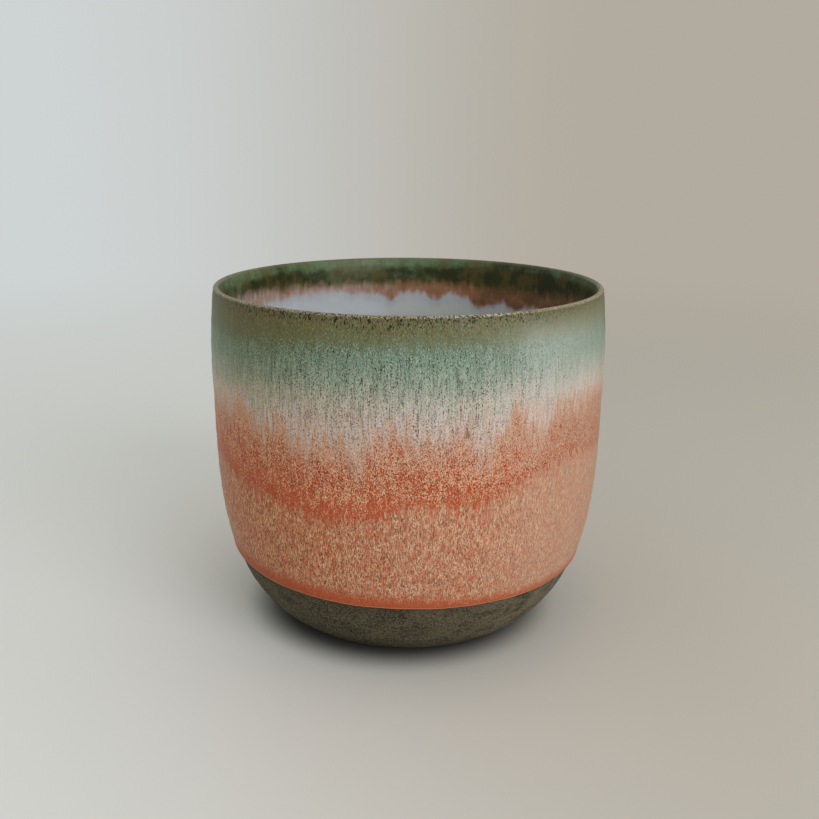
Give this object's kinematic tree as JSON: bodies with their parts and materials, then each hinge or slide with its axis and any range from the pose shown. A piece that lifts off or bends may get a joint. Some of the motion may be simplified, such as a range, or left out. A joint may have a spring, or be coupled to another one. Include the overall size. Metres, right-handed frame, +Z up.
{
  "type": "ceramic planter",
  "caption": "Round wheel-thrown stoneware plant pot with a rounded base, thin lip, bare clay foot and runny two-tone glaze.",
  "frame": {"origin": "centre of the foot ring, on the surface that the pot stands on", "axes": "+Z up along the axis of the pot, -Y towards the side that the picture shows"},
  "size_m": [0.123, 0.123, 0.1059],
  "materials": {
    "bare_stoneware": "matt fired clay",
    "coral_glaze": "satin glaze",
    "pale_liner_glaze": "gloss glaze",
    "green_rim_glaze": "satin glaze"
  },
  "bodies": {
    "root": {"stoneware_body": "bare_stoneware", "outer_glaze": "coral_glaze", "liner_glaze": "pale_liner_glaze", "rim_glaze": "green_rim_glaze"}
  },
  "joints": []
}
